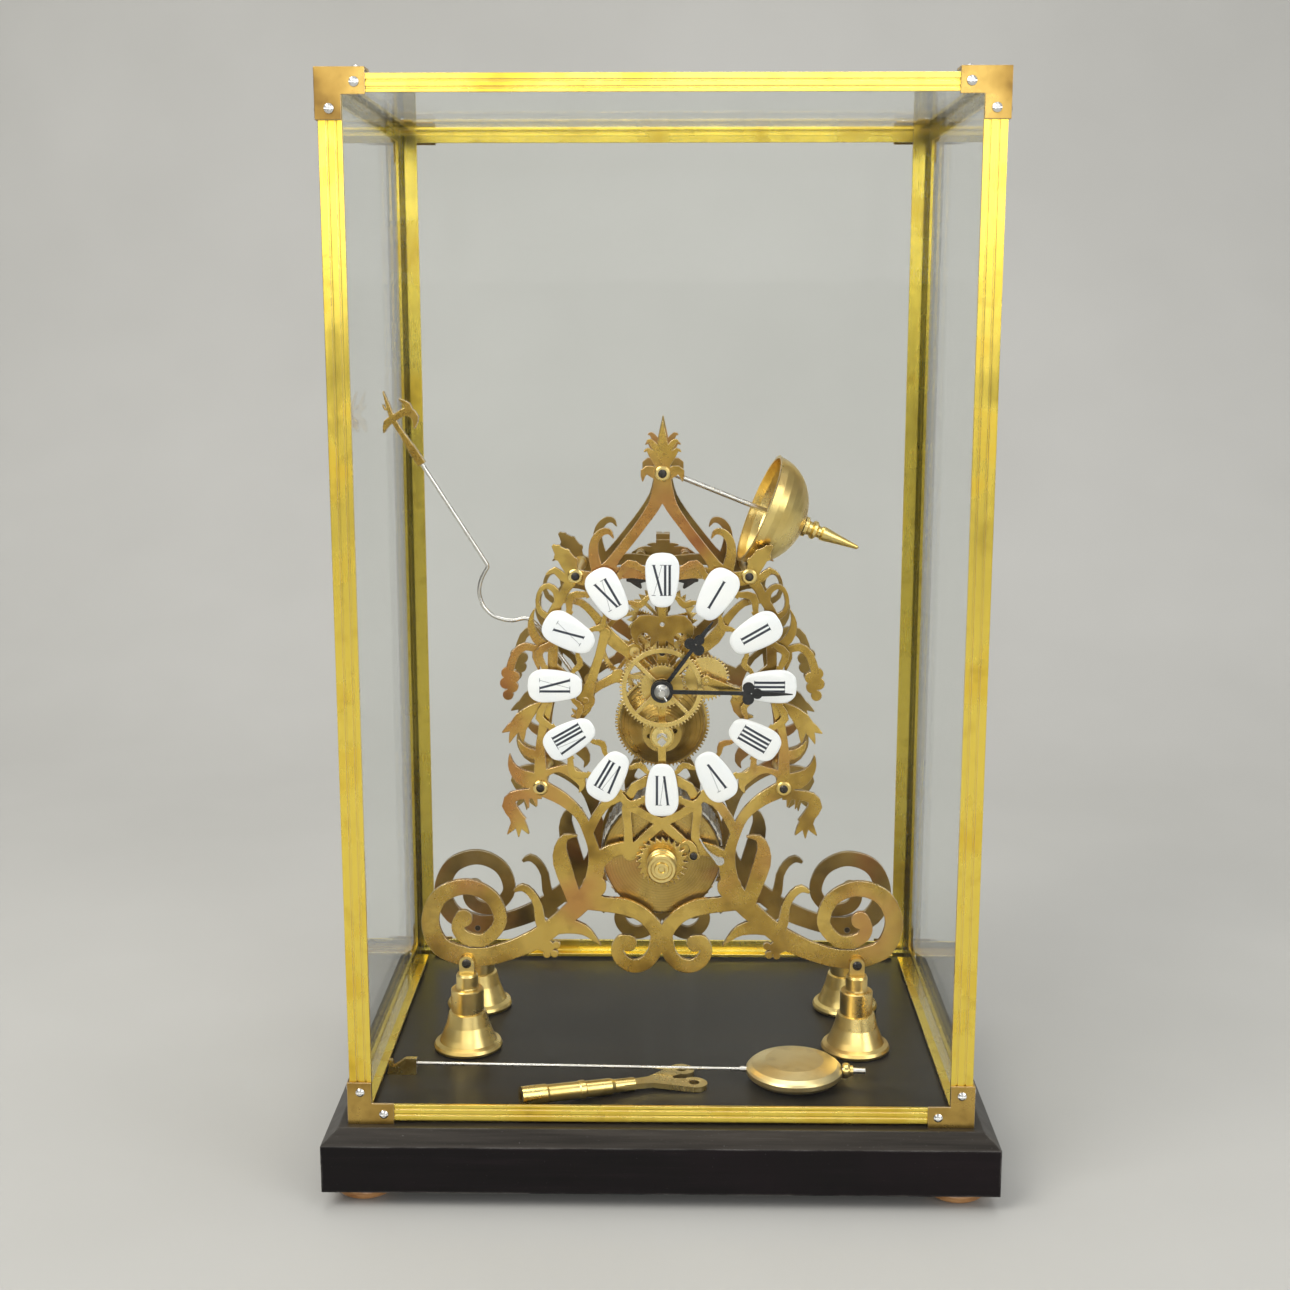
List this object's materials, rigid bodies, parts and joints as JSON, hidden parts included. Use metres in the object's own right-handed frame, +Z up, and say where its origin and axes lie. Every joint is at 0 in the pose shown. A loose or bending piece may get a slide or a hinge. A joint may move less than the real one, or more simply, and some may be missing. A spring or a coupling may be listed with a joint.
{
  "type": "skeleton clock",
  "caption": "Fretted brass skeleton clock with fusee, enamel cartouches, passing-strike bell and hammer, on bell-shaped feet under a brass-framed glass cover on a black base.",
  "frame": {"origin": "middle of the base, on the floor", "axes": "+X to the right seen from the dial side, +Y to the back, +Z up; the dial faces -Y"},
  "size_m": [0.306, 0.24, 0.4983],
  "materials": {
    "black_wood": "black lacquer, rubbed at the edges",
    "foot_wood": "varnished",
    "case_brass": "polished and lacquered",
    "bracket_brass": "polished, lightly stained",
    "screw_steel": "bright",
    "glass": "clear",
    "plate_brass": "polished, with patina",
    "back_brass": "dull, with patina",
    "turned_brass": "turned and polished",
    "dark_steel": "blued",
    "steel": "polished",
    "enamel": "gloss white enamel",
    "black_hand": "satin black"
  },
  "bodies": {
    "stand": {"base_board": "black_wood", "bun_feet": "foot_wood", "front_plate": "plate_brass", "back_plate": "back_brass", "plate_pillars": "turned_brass", "pillar_washers": "turned_brass", "pillar_screws": "dark_steel", "clock_feet": "turned_brass", "foot_screws": "dark_steel", "front_bushes": "turned_brass", "rear_bushes": "turned_brass", "chapter_ring": "plate_brass", "cartouches": "enamel", "front_cock": "plate_brass", "minute_cock": "plate_brass", "back_cock": "back_brass", "movement_screws": "dark_steel", "click_spring": "steel"},
    "cover": {"case_posts": "case_brass", "case_top_rails": "case_brass", "case_bottom_rails": "case_brass", "corner_brackets": "bracket_brass", "bracket_screws": "screw_steel", "glass_front": "glass", "glass_back": "glass", "glass_sides": "glass", "glass_top": "glass"},
    "set_up": {"setup_ratchet": "plate_brass", "barrel_arbor": "steel", "ratchet_knob": "turned_brass"},
    "click": {"ratchet_click": "plate_brass"},
    "drum": {"barrel": "back_brass", "mainspring": "dark_steel", "fusee_chain": "steel"},
    "great": {"great_wheel": "plate_brass"},
    "fusee": {"fusee_cone": "back_brass", "fusee_arbor": "steel"},
    "centre": {"centre_arbor": "steel", "centre_wheel": "plate_brass"},
    "third": {"third_wheel": "plate_brass"},
    "escape": {"escape_arbor": "steel", "escape_wheel": "plate_brass"},
    "anchor": {"pallet_arbor": "steel", "anchor": "dark_steel", "crutch": "steel"},
    "minute": {"cannon_wheel": "plate_brass", "minute_hand": "black_hand", "hand_collet": "steel"},
    "motion": {"minute_wheel": "plate_brass"},
    "hour": {"hour_wheel": "plate_brass", "hour_hand": "black_hand"},
    "hammer": {"hammer_arbor": "plate_brass", "hammer_wire": "steel", "hammer_head": "plate_brass"},
    "bell": {"bell_rod": "steel", "bell": "turned_brass"},
    "pendulum": {"pendulum_rod": "steel"},
    "bob": {"pendulum_bob": "turned_brass"},
    "nut": {"rating_nut": "turned_brass"},
    "key": {"winding_key": "turned_brass"}
  },
  "joints": [
    {"name": "cover_lift", "type": "slide", "parent": "stand", "child": "cover", "axis": [0, 0, 1], "range_m": [0, 0.47]},
    {"name": "centre_turn", "type": "hinge", "parent": "stand", "child": "centre", "pos_m": [0, 0.004, 0.222], "axis": [0, 1, 0], "continuous": true},
    {"name": "great_turn", "type": "hinge", "parent": "stand", "child": "great", "pos_m": [0, 0.004, 0.1962], "axis": [0, 1, 0], "continuous": true},
    {"name": "fusee_wind", "type": "hinge", "parent": "great", "child": "fusee", "pos_m": [0, 0.004, 0.1962], "axis": [0, 1, 0], "range_deg": [0, 2880]},
    {"name": "barrel_turn", "type": "hinge", "parent": "stand", "child": "drum", "pos_m": [0, 0.004, 0.1334], "axis": [0, 1, 0], "range_deg": [0, 1400]},
    {"name": "set_up_turn", "type": "hinge", "parent": "stand", "child": "set_up", "pos_m": [0, 0.004, 0.1334], "axis": [0, 1, 0], "range_deg": [0, 720]},
    {"name": "click_lift", "type": "hinge", "parent": "stand", "child": "click", "pos_m": [0.0156, 0.004, 0.1366], "axis": [0, 1, 0], "range_deg": [0, 18]},
    {"name": "third_turn", "type": "hinge", "parent": "stand", "child": "third", "pos_m": [-0.01326, 0.004, 0.2382], "axis": [0, 1, 0], "continuous": true},
    {"name": "escape_turn", "type": "hinge", "parent": "stand", "child": "escape", "pos_m": [0, 0.004, 0.252], "axis": [0, 1, 0], "continuous": true},
    {"name": "anchor_rock", "type": "hinge", "parent": "stand", "child": "anchor", "pos_m": [0, 0.004, 0.2746], "axis": [0, 1, 0], "range_deg": [-3, 3]},
    {"name": "minute_turn", "type": "hinge", "parent": "stand", "child": "minute", "pos_m": [0, 0.004, 0.222], "axis": [0, 1, 0], "continuous": true},
    {"name": "motion_turn", "type": "hinge", "parent": "stand", "child": "motion", "pos_m": [0.02118, 0.004, 0.22623], "axis": [0, 1, 0], "continuous": true},
    {"name": "hour_turn", "type": "hinge", "parent": "stand", "child": "hour", "pos_m": [0, 0.004, 0.222], "axis": [0, 1, 0], "continuous": true},
    {"name": "hammer_swing", "type": "hinge", "parent": "stand", "child": "hammer", "pos_m": [-0.037, 0.004, 0.2145], "axis": [0, 1, 0], "range_deg": [0, 32]},
    {"name": "bell_swing", "type": "hinge", "parent": "stand", "child": "bell", "pos_m": [0, 0.004, 0.324], "axis": [0, 1, 0], "range_deg": [-112, 0]},
    {"name": "pendulum_lift", "type": "slide", "parent": "stand", "child": "pendulum", "axis": [0, 0, 1], "range_m": [0, 0.06]},
    {"name": "bob_slide", "type": "slide", "parent": "pendulum", "child": "bob", "axis": [0.9996, -0.0279, 0], "range_m": [-0.003, 0.003]},
    {"name": "nut_turn", "type": "hinge", "parent": "bob", "child": "nut", "pos_m": [0.06392, -0.06005, 0.0415], "axis": [0.9996, -0.0279, 0], "range_deg": [-2200, 2200]},
    {"name": "key_lift", "type": "slide", "parent": "stand", "child": "key", "axis": [0, 0, 1], "range_m": [0, 0.06]}
  ],
  "couplings": [
    {"joint": "great_turn", "follows": "centre_turn", "ratio": -0.10256},
    {"joint": "third_turn", "follows": "centre_turn", "ratio": -12},
    {"joint": "escape_turn", "follows": "centre_turn", "ratio": 137.14},
    {"joint": "minute_turn", "follows": "centre_turn", "ratio": 1},
    {"joint": "motion_turn", "follows": "centre_turn", "ratio": -1},
    {"joint": "hour_turn", "follows": "centre_turn", "ratio": 0.083333},
    {"joint": "barrel_turn", "follows": "fusee_wind", "ratio": 0.48},
    {"joint": "nut_turn", "follows": "bob_slide", "rad_per_m": 12566}
  ]
}
